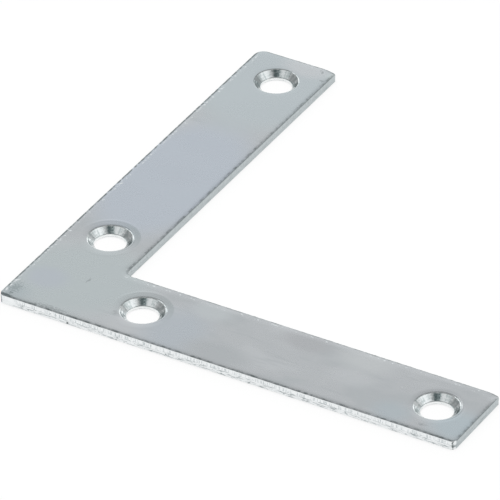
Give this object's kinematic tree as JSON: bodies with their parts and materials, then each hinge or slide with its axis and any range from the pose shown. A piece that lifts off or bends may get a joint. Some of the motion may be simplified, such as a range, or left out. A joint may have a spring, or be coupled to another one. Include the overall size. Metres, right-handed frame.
{
  "type": "flat corner brace",
  "caption": "Flat L-shaped steel plate with countersunk screw holes along both arms, for fixing a corner joint.",
  "frame": {"origin": "where the centre lines of the two arms cross, on the flat back that lies on the work", "axes": "+X and +Y along the two arms from the corner, +Z out of the countersunk face"},
  "size_m": [0.1, 0.1, 0.002],
  "materials": {
    "zinc_plated_steel": "bright zinc plate, satin"
  },
  "bodies": {
    "root": {"brace_plate": "zinc_plated_steel"}
  },
  "joints": []
}
